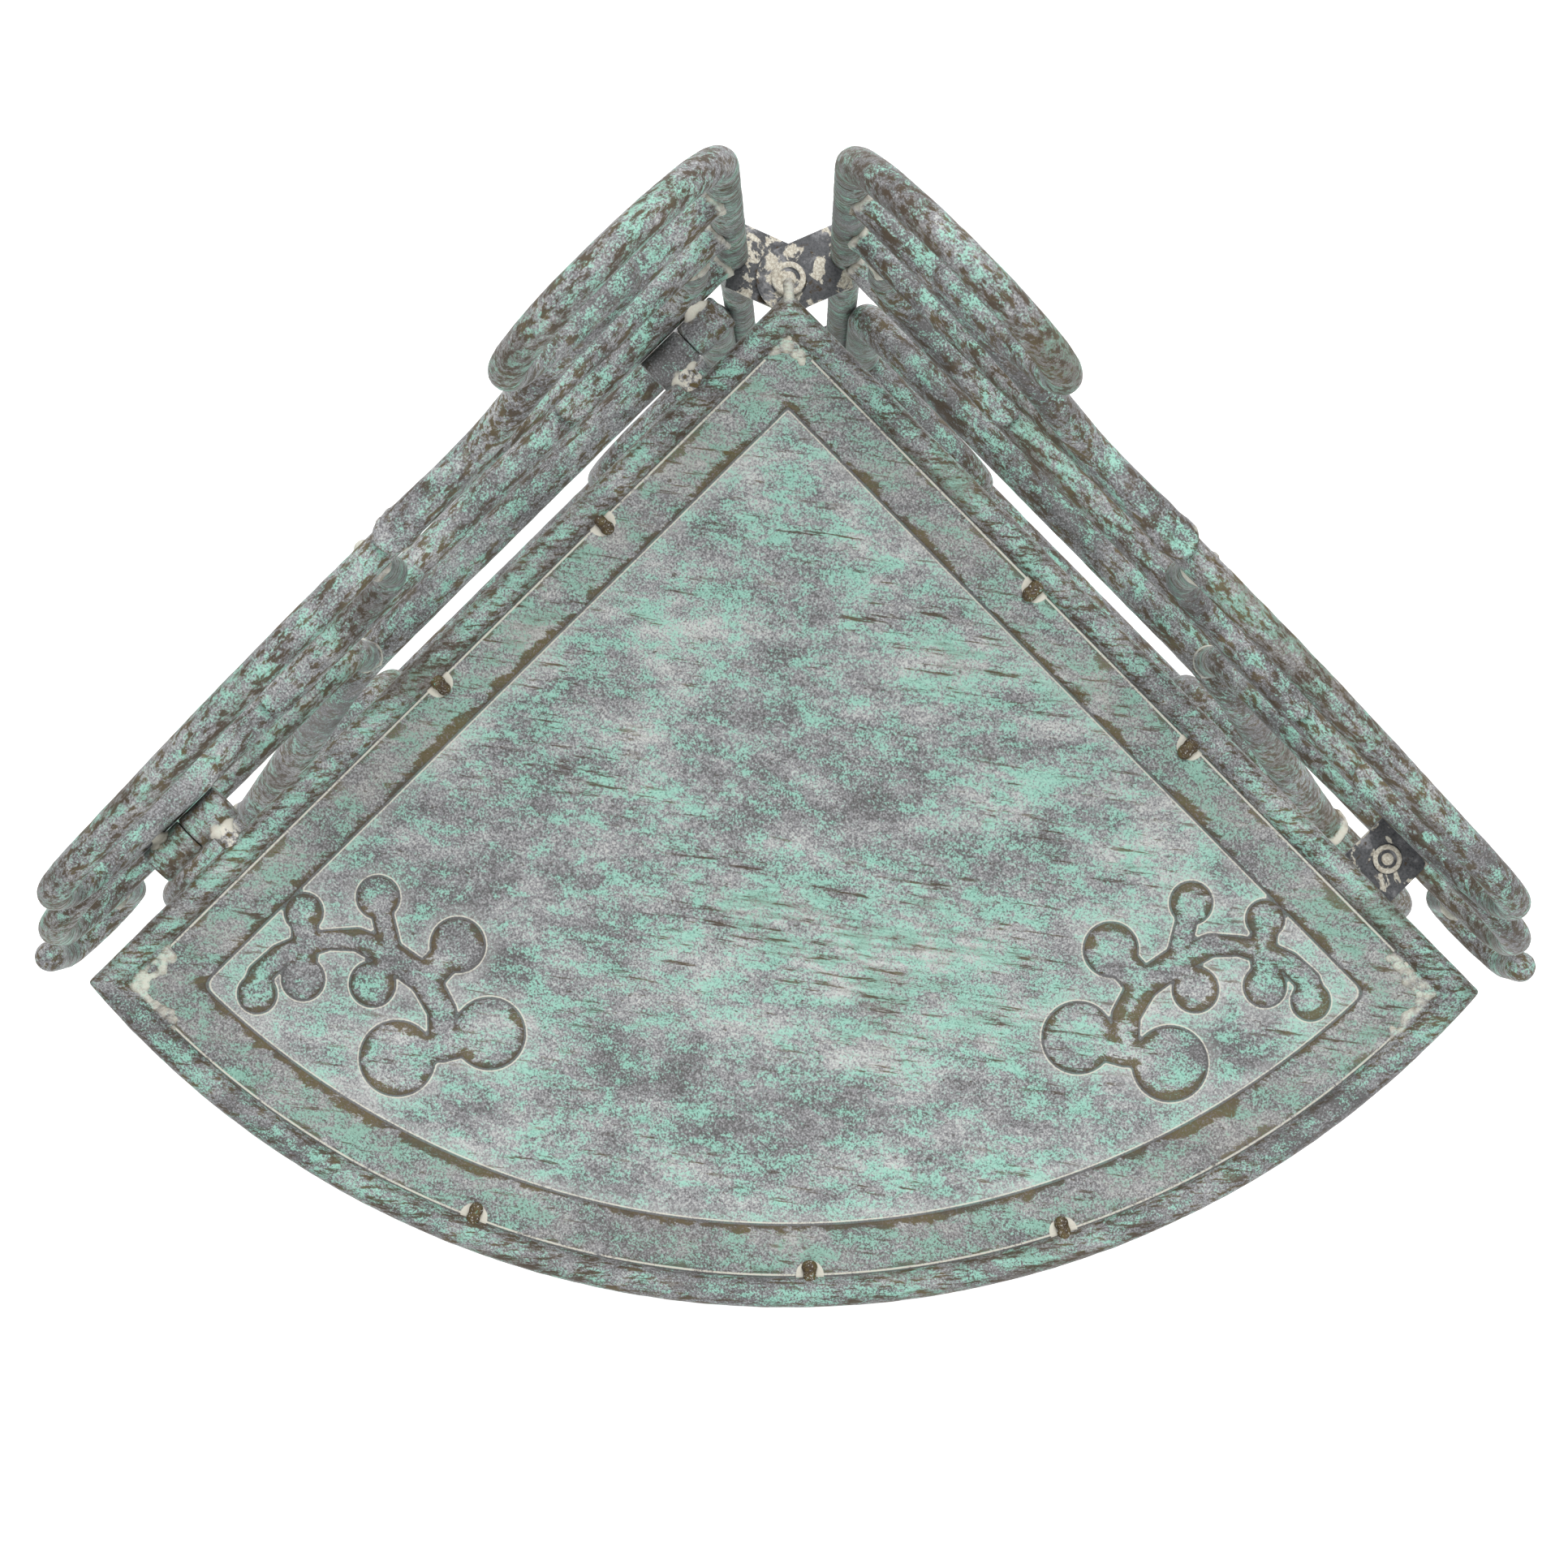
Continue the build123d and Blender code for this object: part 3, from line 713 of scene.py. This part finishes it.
def seam_distance(right, left, depth):
    """Distance in mm inside the rim rods' seam, pushed out of reach at the corners, under their welds."""
    along = np.stack([np.hypot(right - place.x, left - place.y) for place in TRAY_CORNERS]).min(axis=0)
    return (depth - RIM_ROD) / MM + 30 * rise(-along, -CORNER_WELD - 2 * MM, -CORNER_WELD)


def pan_mesh():
    """Sheet with a sunken panel and raised scrolls, on a fine grid along the tray's straight sides."""
    edge = RIM_ROD - 2 * MM
    steps = int((TRAY_SIDE + 2 * MM - edge) / GRID)
    line = edge + np.arange(steps) * GRID
    right, left = np.meshgrid(line, line, indexing="ij")
    used = inset_depth(right, left) > edge - 0.5 * GRID
    right, left = snapped(right, left, scroll_step, GRID)
    right, left = snapped(right, left, panel_step, GRID)
    depth = inset_depth(right, left)
    panel = rise(-panel_step(right, left), -0.5 * GRID, 0.5 * GRID)
    raised = rise(-scroll_step(right, left), -0.5 * GRID, 0.5 * GRID) * panel
    sway = 0.25 * MM * np.sin(right * 31) * np.sin(left * 27 + 1.3) * panel
    top = BORDER_TOP - PANEL_DROP * panel + SCROLL_RISE * raised + sway

    from_border = panel_step(right, left) / MM
    from_scroll = -scroll_step(right, left) / MM
    on_panel = np.where(np.abs(from_scroll) < np.abs(from_border), from_scroll, from_border)
    masks = {
        "edge": np.where(from_border > 0, from_border, on_panel),
        "border": rise(from_border, -0.3, 0.3),
        "seam": seam_distance(right, left, depth),
        "halo": tack_halo(right, left),
    }
    mesh = grid_solid(right, left, top, used)
    for name, values in masks.items():
        paint_mask(mesh, name, np.tile(values[used], 2))
    return mesh


def grid_solid(right, left, top, used):
    """Closed mesh between the sheet's top and the same shape one sheet lower."""
    index = np.full(used.shape, -1, int)
    count = int(used.sum())
    index[used] = np.arange(count)
    cells = used[:-1, :-1] & used[1:, :-1] & used[:-1, 1:] & used[1:, 1:]
    corner = np.stack([index[:-1, :-1], index[:-1, 1:], index[1:, 1:], index[1:, :-1]], axis=-1)[cells]
    upper = np.stack([right[used] + APEX.x, APEX.y - left[used], top[used] + APEX.z], axis=1)
    lower = upper - np.array([0, 0, SHEET])
    faces = [corner, corner[:, ::-1] + count]
    edges = np.concatenate([corner[:, [side, (side + 1) % 4]] for side in range(4)])
    key = {tuple(pair) for pair in edges}
    rim = np.array([pair for pair in edges if (pair[1], pair[0]) not in key])
    faces.append(np.stack([rim[:, 1], rim[:, 0], rim[:, 0] + count, rim[:, 1] + count], axis=1))
    mesh = bpy.data.meshes.new("pan_relief")
    mesh.from_pydata(np.concatenate([upper, lower]).tolist(), [], np.concatenate(faces).tolist())
    mesh.shade_smooth()
    return mesh


def tray_pans():
    mesh = pan_mesh()
    for tier in TIERS:
        own = mesh.copy()
        own.transform(Matrix.Translation((0, 0, -TIER_DROP[tier])))
        piece = new_piece(f"{tier}_pan_relief", own, "patina_tray", PAN_PAINT)
        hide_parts(f"{tier}_tray_pan")
        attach(piece, f"{tier}_tray")
    bpy.data.meshes.remove(mesh)


# ---------------------------------------------------------------- CAD nodes that keep their shape

def repaint():
    """Gives every CAD node the procedural paint of its slot."""
    for part in frame["record"]["subparts"]:
        obj = frame["nodes"][part["node"]]
        obj.data.materials.clear()
        obj.data.materials.append(PAINT[part["material_slot"]])


# ---------------------------------------------------------------- side frames

FORGED = [
    "back_post", "top_arch", "swan_rail", "gallery_rail", "gallery_scrolls", "tray_rail", "leg_frame",
    "front_hook", "front_leg", "back_hoop", "lower_tray_rail",
]


def height_of(node, share):
    """Height over the top tray at a share of a node's own height."""
    low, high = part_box(node)
    return low.z + (high.z - low.z) * share - APEX.z


def reach_of(node, share):
    """Distance from the corner along the right frame, at a share of a node's length."""
    low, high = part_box(node)
    return low.x + (high.x - low.x) * share - APEX.x


# Where bars of a side frame meet away from their own ends: distances along it from the corner
TRAY_RAIL_STEM = 223 * MM
LEG_FRAME_END = 322 * MM
HOOK_BACK = 361 * MM
FRONT_HOOP_BACK = 234 * MM
BACK_HOOP_FRONT = 97.5 * MM
BETWEEN_SCROLLS = 160 * MM

# The same as heights over the top tray
GALLERY_BACK_HEIGHT = 100 * MM
BACK_SCROLL_HEIGHT = 95 * MM

# How far a weld lies back from the end of its bar
SWAN_WELD_BACK = 9 * MM
GALLERY_WELD_BACK = 58 * MM
SCROLL_WELD_BACK = 12 * MM


def side_welds():
    """Welds of a side frame by the bar that carries them: place in its plane, axis, radius and size."""
    half = BAR / 2
    along = (1, 1, 0)
    up = (0, 0, 1)
    small = 2.0 * MM
    large = 2.6 * MM
    post_front = reach_of("right_back_post", 1.0)
    swan_end = reach_of("right_swan_rail", 1.0)
    gallery_end = reach_of("right_gallery_rail", 1.0)
    scroll_back = reach_of("right_gallery_scrolls", 0.0) + half
    scroll_top = height_of("right_gallery_scrolls", 1.0)
    scroll_front = reach_of("right_gallery_scrolls", 1.0)
    scroll_weld = scroll_front - SCROLL_WELD_BACK
    rail_foot = height_of("right_tray_rail", 0.0)
    leg_back = reach_of("right_leg_frame", 0.0) + half
    lower_rail = height_of("right_lower_tray_rail", 0.5)
    return {
        "swan_rail": [
            ((post_front, height_of("right_swan_rail", 1.0) - half), along, half, small),
            ((swan_end - SWAN_WELD_BACK, height_of("right_swan_rail", 0.0) + 1 * MM), up, 7 * MM, large),
        ],
        "gallery_rail": [
            ((post_front, GALLERY_BACK_HEIGHT), along, half, small),
            ((gallery_end - GALLERY_WELD_BACK, 1.2 * half), up, 6 * MM, small),
        ],
        "gallery_scrolls": [
            ((scroll_back, BACK_SCROLL_HEIGHT), up, half, large),
            ((scroll_back + BETWEEN_SCROLLS, scroll_top), up, half, large),
            ((scroll_weld, half), up, half, small),
            ((scroll_weld - BETWEEN_SCROLLS, half), up, half, small),
        ],
        "tray_rail": [
            ((post_front, 0.0), along, half, small),
            ((TRAY_RAIL_STEM, rail_foot - 1 * MM), up, half, large),
        ],
        "leg_frame": [((LEG_FRAME_END, height_of("right_front_leg", 1.0)), up, 8 * MM, large)],
        "front_leg": [((FRONT_HOOP_BACK, lower_rail + half), up, 7 * MM, small)],
        "back_hoop": [
            ((BACK_HOOP_FRONT, lower_rail + half), up, half, small),
            ((leg_back + half, height_of("right_back_hoop", 1.0) - half), along, half, small),
        ],
        "lower_tray_rail": [
            ((reach_of("right_lower_tray_rail", 0.0), lower_rail), along, half, small),
            ((reach_of("right_lower_tray_rail", 1.0), lower_rail), along, half, small),
        ],
        "front_hook": [((HOOK_BACK, height_of("right_front_hook", 1.0)), up, half, large)],
    }


def side_frames():
    """Every bar of both side frames, with the welds that it carries."""
    welds = side_welds()
    for side in SIDES:
        for name in FORGED:
            lumps = []
            for index, (place, axis, radius, size) in enumerate(welds.get(name, [])):
                centre = in_frame(side, place[0], FRAME_OUTSET, place[1])
                lying = Vector(axis) * Vector((1, 0, 1) if side == "right" else (0, 1, 1))
                lumps += bead_ring(centre, lying, radius, size, seed=f"{side}{name}{index}")
            paint = LEFT_BAR_PAINT if side == "left" else PAINT["patina_bar"]
            forged(f"{side}_{name}_forged", [f"{side}_{name}"], "patina_bar", lumps, paint)


# ---------------------------------------------------------------- tray rims and their welds

def arc_point(away, depth):
    """Point that far along the front from its right end and that deep, as distances along the sides."""
    start = math.atan2(-ARC_OFFSET, TRAY_SIDE - ARC_OFFSET)
    turn = start + away / ARC_RADIUS
    radius = ARC_RADIUS - depth
    return ARC_OFFSET + radius * math.cos(turn), ARC_OFFSET + radius * math.sin(turn)


def corner_welds(tier):
    """Low messy welds over the rim's three corners, where the rods meet each other and the sheet."""
    rng = random.Random(f"{tier}corners")
    bead = 2.2 * MM
    lumps = []

    def add(right, left):
        wobble = [rng.uniform(-1.5, 5.0) * MM for _ in range(2)]
        place = on_tray(tier, right + wobble[0], left + wobble[1], BORDER_TOP - 0.3 * bead)
        lumps.append((place, bead * rng.uniform(0.8, 1.2)))

    for step in range(20):
        away = RIM_ROD + step * 1.1 * MM
        low = RIM_ROD + 0.8 * MM
        front_right, front_left = arc_point(away, low)
        for right, left in ((TRAY_SIDE - away, low), (front_right, front_left)):
            add(right - 2 * MM, left)
            add(left, right - 2 * MM)
    for step in range(9):
        add(RIM_ROD + step * MM, RIM_ROD * 0.95)
        add(RIM_ROD * 0.95, RIM_ROD + step * MM)
    for step in range(9):
        diagonal = (step - 1.5) * 1.2 * MM
        lumps.append((on_tray(tier, diagonal, diagonal, RIM_ROD * 0.28), (2.6 - step * 0.12) * MM))
    return lumps


def tray_rims():
    """Each tray's three rim rods as one welded rim, then its tacks and hinges."""
    for tier in TIERS:
        rods = [f"{tier}_tray_{side}_rim_rod" for side in ("left", "right", "front")]
        lumps = corner_welds(tier)
        forged(f"{tier}_tray_rim", rods, "patina_tray", lumps, voxel=1.1 * MM, dents=0.35 * MM, washed=0.95)
        tacks(tier)
        hinge_side(tier)


def across_seam(tier, middle):
    """Angle of the line across the seam between sheet and rim rod, at a tack's middle."""
    from_centre = (middle - on_tray(tier, ARC_OFFSET, ARC_OFFSET, 0)).to_2d()
    if from_centre.length > ARC_RADIUS - 2 * RIM_ROD:
        return math.atan2(from_centre.y, from_centre.x)
    if middle.x > APEX.x + 2 * RIM_ROD:
        return math.atan2(1, 0)
    return 0.0


def tacks(tier):
    """Short brown welds across the seam, each a few overlapping lumps."""
    lump_gap = 3.1  # in mm
    shape = bmesh.new()
    node = f"{tier}_tray_tack_welds"
    for index, middle in enumerate(loose_parts(node)):
        rng = random.Random(f"{tier}tack{index}")
        turn = across_seam(tier, middle)
        for step in (-1, 0, 1):
            shift = Vector((math.cos(turn), math.sin(turn), 0)) * step * lump_gap * MM
            place = middle + shift + Vector((0, 0, -1.0 * MM))
            radii = (rng.uniform(2.9, 3.7) * MM, rng.uniform(2.5, 3.3) * MM, rng.uniform(1.8, 2.6) * MM)
            lump(shape, place, radii, turn)
    mesh = bpy.data.meshes.new(f"{tier}_tacks")
    shape.to_mesh(mesh)
    shape.free()
    piece = new_piece(f"{tier}_tacks", mesh, "washed_weld", TACK_PAINT)
    run_together(piece, 0.5 * MM)
    applied(piece)
    piece.data.shade_smooth()
    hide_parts(node)
    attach(piece, f"{tier}_tray")


# Section of a rivet's cap from its middle outward: share of the radius, and drop as a share of its height
CAP_PROFILE = [
    (0.0, 0.0), (0.3, -0.02), (0.42, -0.2), (0.5, -0.45), (0.58, -0.45), (0.66, -0.12),
    (0.9, -0.16), (1.0, -0.4), (1.0, -1.0),
]
CAP_CREAM = [1.0, 1.0, 0.4, 0.0, 0.0, 0.8, 0.8, 0.1, 0.0]
CAP_HEIGHT = 3 * MM
AROUND = 48


def rivet_cap(name, centre, radius, height):
    """Turned cap with a dome, a groove and a ring, under the given top middle point."""
    points = []
    for share, drop in CAP_PROFILE:
        for step in range(AROUND):
            turn = 2 * math.pi * step / AROUND
            place = Vector((math.cos(turn), math.sin(turn), 0)) * share * radius
            points.append(centre + place + Vector((0, 0, drop * height)))
    faces = []
    for ring in range(len(CAP_PROFILE) - 1):
        for step in range(AROUND):
            after = (step + 1) % AROUND
            inner, outer = ring * AROUND, (ring + 1) * AROUND
            faces.append((inner + step, outer + step, outer + after, inner + after))
    faces.append(tuple(range((len(CAP_PROFILE) - 1) * AROUND, len(CAP_PROFILE) * AROUND))[::-1])
    mesh = bpy.data.meshes.new(name)
    mesh.from_pydata(points, [], faces)
    mesh.shade_smooth()
    return mesh


def rivets():
    """Caps in place of the CAD rivets, cream but for a dark groove. They have no shank and no lower end."""
    for tier in TIERS:
        for kind in ("corner", "rest"):
            node = f"{tier}_{kind}_rivet"
            low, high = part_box(node)
            radius = (high.x - low.x) / 2
            height = min(CAP_HEIGHT, high.z - low.z)
            centre = Vector(((low.x + high.x) / 2, (low.y + high.y) / 2, high.z))
            mesh = rivet_cap(f"{node}_head", centre, radius, height)
            piece = new_piece(f"{node}_head", mesh, "washed_weld", PAINT["worn_lug"])
            paint_mask(mesh, "crease", np.repeat(CAP_CREAM, AROUND))
            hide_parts(node)
            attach(piece, node_body(node))


def hinge_side(tier):
    """Barrel hinges' knuckles with the welds that hold them to the rim and to the frame's rail."""
    out = BAR / 2
    for owner, toward in (("tray_hinge", 1), ("frame", -1)):
        node = f"{tier}_{owner}_knuckles"
        lumps = []
        for index, middle in enumerate(loose_parts(node)):
            centre = middle + Vector((toward * out, 0, 2.5 * MM))
            lumps += puddle(centre, 4.5 * MM, 2.4 * MM, 10, seed=f"{node}{index}")
        forged(f"{node}_welded", [node], "patina_bar", lumps, voxel=0.9 * MM, dents=0.2 * MM, washed=1.6)


# ---------------------------------------------------------------- floor, light, camera

def floor():
    """White table under the feet that glows a little itself."""
    size = 12.0
    mesh = bpy.data.meshes.new("floor")
    corners = [(-size, -size, 0), (size, -size, 0), (size, size, 0), (-size, size, 0)]
    mesh.from_pydata(corners, [], [(0, 1, 2, 3)])
    obj = bpy.data.objects.new("floor", mesh)
    bpy.context.scene.collection.objects.link(obj)
    shade = Shade("floor_paper")
    grain = shade.noise(0.4, detail=2)
    shade.shader.inputs["Emission Color"].default_value = (1, 1, 1, 1)
    shade.shader.inputs["Emission Strength"].default_value = 0.45
    mesh.materials.append(shade.finish(shade.mix(grain, (0.93, 0.93, 0.93, 1), (0.95, 0.95, 0.95, 1)), 0.9))


def area_light(name, place, size, power):
    """Square light aimed at the tray's corner."""
    data = bpy.data.lights.new(name, "AREA")
    data.shape = "SQUARE"
    data.size = size
    data.energy = power
    light = bpy.data.objects.new(name, data)
    bpy.context.scene.collection.objects.link(light)
    light.location = place
    light.rotation_euler = (APEX - Vector(place)).to_track_quat("-Z", "Y").to_euler()


def studio():
    """Two soft lights in a white room."""
    area_light("key", (-0.9, 1.2, 2.5), 1.3, 40)
    area_light("fill", (1.5, -0.9, 2.3), 1.8, 16)
    world = bpy.data.worlds.new("white_room")
    world.use_nodes = True
    world.node_tree.nodes["Background"].inputs["Color"].default_value = (1, 1, 1, 1)
    world.node_tree.nodes["Background"].inputs["Strength"].default_value = 0.6
    bpy.context.scene.world = world
    bpy.context.scene.view_settings.view_transform = "Standard"


def camera():
    """Looks straight down, with the tray's corner toward the top of the picture."""
    view_angle = math.radians(18.15)
    above_tray = 1.9
    turn = math.radians(45.4)
    # Its place from the tray's corner, in mm
    right_of_corner = 5.4
    ahead_of_corner = 190.8
    data = bpy.data.cameras.new("camera")
    data.sensor_width = 36
    data.lens = data.sensor_width / 2 / math.tan(view_angle / 2)
    data.shift_x = -0.012
    data.clip_end = 20
    obj = bpy.data.objects.new("camera", data)
    bpy.context.scene.collection.objects.link(obj)
    rightward = Vector((math.cos(turn), math.sin(turn), 0))
    upward = Vector((-math.sin(turn), math.cos(turn), 0))
    obj.location = (
        APEX
        + rightward * right_of_corner * MM
        - upward * ahead_of_corner * MM
        + Vector((0, 0, above_tray))
    )
    obj.rotation_euler = (0, 0, turn)
    bpy.context.scene.camera = obj


repaint()
tray_pans()
tray_rims()
rivets()
side_frames()
floor()
studio()
camera()
